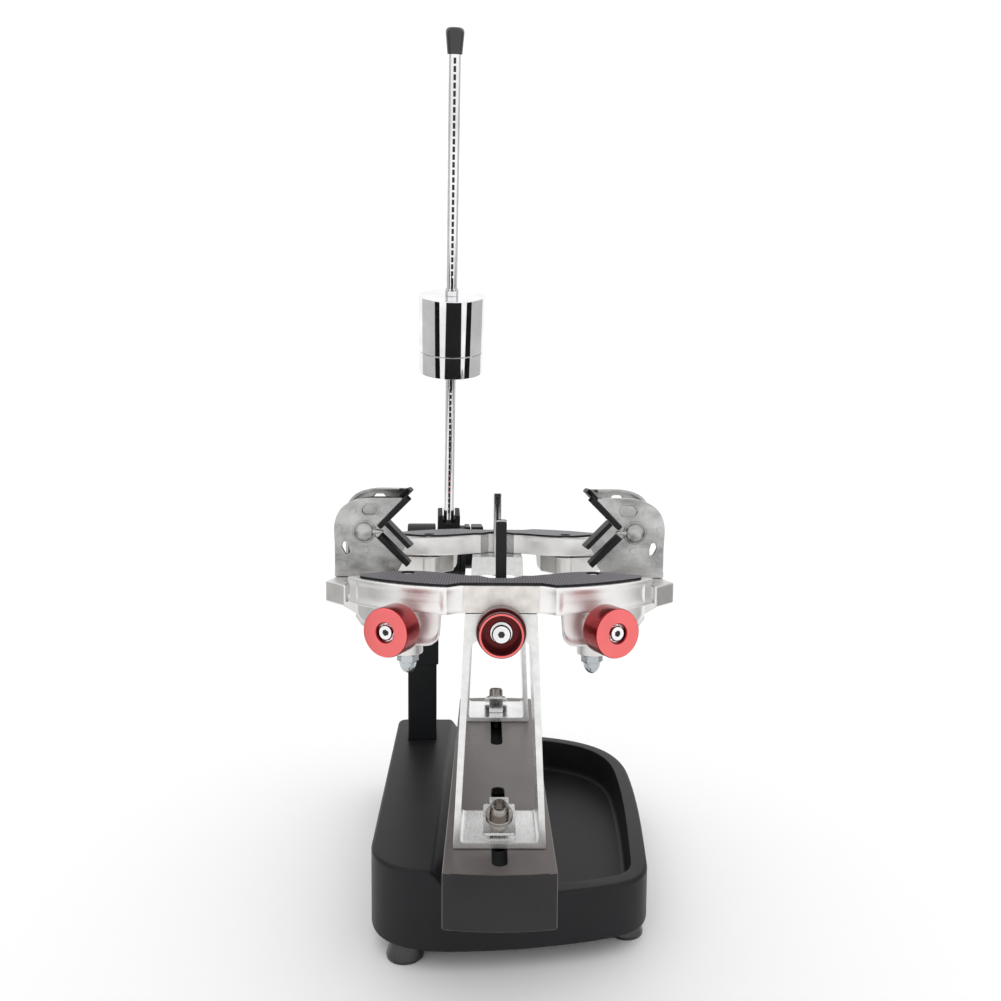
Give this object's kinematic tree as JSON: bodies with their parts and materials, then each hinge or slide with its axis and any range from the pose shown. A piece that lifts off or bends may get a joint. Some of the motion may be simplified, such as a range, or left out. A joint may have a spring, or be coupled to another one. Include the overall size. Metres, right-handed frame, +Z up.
{
  "type": "racquet stringing machine",
  "caption": "Table-top drop-weight racquet stringing machine: rotating mounting frame with side arms and centre supports, tensioning bar with sliding weight, moulded base with tray.",
  "frame": {"origin": "on the bench under the middle of the machine's bounding box", "axes": "+Z up, +Y along the turntable away from the user towards the tension head, +X to the user's right"},
  "size_m": [0.3374, 0.5868, 0.9537],
  "materials": {
    "base_plastic": "textured moulded charcoal plastic",
    "black_rubber": "matt black rubber",
    "grid_rubber": "black rubber with a fine moulded grid",
    "black_steel": "black powder coat",
    "bronze_anodised": "grey-bronze satin extrusion",
    "sawn_aluminium": "satin extrusion with sawn edges",
    "bright_casting": "polished and brushed casting",
    "grey_casting": "satin die casting",
    "zinc_plate": "bright zinc plate",
    "chrome": "polished chrome",
    "bare_steel": "brushed steel",
    "red_anodised": "red anodised turned aluminium",
    "gloss_black_cap": "gloss black vinyl"
  },
  "bodies": {
    "base": {"base_shell": "base_plastic", "base_plate": "black_steel", "foot_front_left": "black_rubber", "foot_front_right": "black_rubber", "foot_rear_left": "black_rubber", "foot_rear_right": "black_rubber", "spindle": "black_steel", "head_post": "black_steel", "head_housing": "black_steel"},
    "turntable": {"channel": "bronze_anodised", "turntable_disc": "bright_casting"},
    "near_tower": {"near_tower_frame": "sawn_aluminium", "near_tower_head": "bright_casting", "near_top_pad": "grid_rubber", "near_clamp_bracket": "zinc_plate", "near_clamp_bolt": "zinc_plate", "near_left_pivot_bolt": "chrome", "near_right_pivot_bolt": "chrome"},
    "near_support": {"near_centre_post": "bare_steel", "near_support_pad": "black_rubber"},
    "near_centre_knob": {"near_centre_knob": "red_anodised"},
    "near_right_arm": {"near_right_arm": "grey_casting", "near_right_vee_plate": "grey_casting", "near_right_upper_pad": "black_rubber", "near_right_lower_pad": "black_rubber"},
    "near_right_knob": {"near_right_knob": "red_anodised"},
    "near_left_arm": {"near_left_arm": "grey_casting", "near_left_vee_plate": "grey_casting", "near_left_upper_pad": "black_rubber", "near_left_lower_pad": "black_rubber"},
    "near_left_knob": {"near_left_knob": "red_anodised"},
    "far_tower": {"far_tower_frame": "sawn_aluminium", "far_tower_head": "bright_casting", "far_top_pad": "grid_rubber", "far_clamp_bracket": "zinc_plate", "far_clamp_bolt": "zinc_plate", "far_left_pivot_bolt": "chrome", "far_right_pivot_bolt": "chrome"},
    "far_support": {"far_centre_post": "bare_steel", "far_support_pad": "black_rubber"},
    "far_centre_knob": {"far_centre_knob": "red_anodised"},
    "far_left_arm": {"far_left_arm": "grey_casting", "far_left_vee_plate": "grey_casting", "far_left_upper_pad": "black_rubber", "far_left_lower_pad": "black_rubber"},
    "far_left_knob": {"far_left_knob": "red_anodised"},
    "far_right_arm": {"far_right_arm": "grey_casting", "far_right_vee_plate": "grey_casting", "far_right_upper_pad": "black_rubber", "far_right_lower_pad": "black_rubber"},
    "far_right_knob": {"far_right_knob": "red_anodised"},
    "bar": {"rod_holder": "black_steel", "drop_rod": "chrome", "rod_cap": "gloss_black_cap"},
    "weight": {"main_weight": "chrome", "small_weight": "chrome", "weight_collar": "chrome"},
    "gripper": {"gripper_drum": "black_steel", "fixed_jaw": "black_steel"},
    "jaw": {"sliding_jaw": "black_steel"}
  },
  "joints": [
    {"name": "turntable_turn", "type": "hinge", "parent": "base", "child": "turntable", "pos_m": [-0.00529, -0.07639, 0.13], "axis": [0, 0, 1], "continuous": true},
    {"name": "near_tower_slide", "type": "slide", "parent": "turntable", "child": "near_tower", "axis": [0, 1, 0], "range_m": [-0.03, 0.032]},
    {"name": "near_support_slide", "type": "slide", "parent": "near_tower", "child": "near_support", "axis": [0, 1, 0], "range_m": [-0.0018, 0.005]},
    {"name": "near_centre_knob_turn", "type": "hinge", "parent": "near_tower", "child": "near_centre_knob", "pos_m": [-0.00529, -0.25304, 0.361], "axis": [0, -1, 0], "range_deg": [-500, 1420]},
    {"name": "near_right_arm_swing", "type": "hinge", "parent": "near_tower", "child": "near_right_arm", "pos_m": [0.07371, -0.20314, 0.35], "axis": [0, 0, 1], "range_deg": [-7.6, 7.6]},
    {"name": "near_right_knob_turn", "type": "hinge", "parent": "near_tower", "child": "near_right_knob", "pos_m": [0.08421, -0.27864, 0.3645], "axis": [0.4147, -0.91, 0], "range_deg": [-860, 860]},
    {"name": "near_left_arm_swing", "type": "hinge", "parent": "near_tower", "child": "near_left_arm", "pos_m": [-0.08429, -0.20314, 0.35], "axis": [0, 0, -1], "range_deg": [-7.6, 7.6]},
    {"name": "near_left_knob_turn", "type": "hinge", "parent": "near_tower", "child": "near_left_knob", "pos_m": [-0.09479, -0.27864, 0.3645], "axis": [-0.4147, -0.91, 0], "range_deg": [-860, 860]},
    {"name": "far_tower_slide", "type": "slide", "parent": "turntable", "child": "far_tower", "axis": [0, -1, 0], "range_m": [-0.03, 0.032]},
    {"name": "far_support_slide", "type": "slide", "parent": "far_tower", "child": "far_support", "axis": [0, -1, 0], "range_m": [-0.0018, 0.005]},
    {"name": "far_centre_knob_turn", "type": "hinge", "parent": "far_tower", "child": "far_centre_knob", "pos_m": [-0.00529, 0.10941, 0.361], "axis": [0, 1, 0], "range_deg": [-500, 1420]},
    {"name": "far_left_arm_swing", "type": "hinge", "parent": "far_tower", "child": "far_left_arm", "pos_m": [-0.08429, 0.05951, 0.35], "axis": [0, 0, 1], "range_deg": [-0.3, 14.9]},
    {"name": "far_left_knob_turn", "type": "hinge", "parent": "far_tower", "child": "far_left_knob", "pos_m": [-0.09479, 0.13501, 0.3645], "axis": [-0.4147, 0.91, 0], "range_deg": [-1695, 30]},
    {"name": "far_right_arm_swing", "type": "hinge", "parent": "far_tower", "child": "far_right_arm", "pos_m": [0.07371, 0.05951, 0.35], "axis": [0, 0, -1], "range_deg": [-0.3, 14.9]},
    {"name": "far_right_knob_turn", "type": "hinge", "parent": "far_tower", "child": "far_right_knob", "pos_m": [0.08421, 0.13501, 0.3645], "axis": [0.4147, 0.91, 0], "range_deg": [-1695, 30]},
    {"name": "bar_swing", "type": "hinge", "parent": "base", "child": "bar", "pos_m": [-0.07129, 0.25561, 0.35], "axis": [-0.9973, -0.0732, 0], "range_deg": [0, 115]},
    {"name": "weight_slide", "type": "slide", "parent": "bar", "child": "weight", "axis": [0.0252, -0.3436, 0.9388], "range_m": [-0.175, 0.25]},
    {"name": "gripper_turn", "type": "hinge", "parent": "base", "child": "gripper", "pos_m": [-0.07129, 0.25561, 0.35], "axis": [-0.9973, -0.0732, 0], "range_deg": [0, 115]},
    {"name": "jaw_slide", "type": "slide", "parent": "gripper", "child": "jaw", "axis": [-0.9973, -0.0732, 0], "range_m": [0, 0.002]}
  ],
  "couplings": [
    {"joint": "near_support_slide", "follows": "near_centre_knob_turn", "m_per_rad": 0.0001989},
    {"joint": "near_right_arm_swing", "follows": "near_right_knob_turn", "ratio": -0.008764},
    {"joint": "near_left_arm_swing", "follows": "near_left_knob_turn", "ratio": -0.008764},
    {"joint": "far_support_slide", "follows": "far_centre_knob_turn", "m_per_rad": 0.0001989},
    {"joint": "far_left_arm_swing", "follows": "far_left_knob_turn", "ratio": -0.008764},
    {"joint": "far_right_arm_swing", "follows": "far_right_knob_turn", "ratio": -0.008764},
    {"joint": "gripper_turn", "follows": "bar_swing", "ratio": 1}
  ]
}
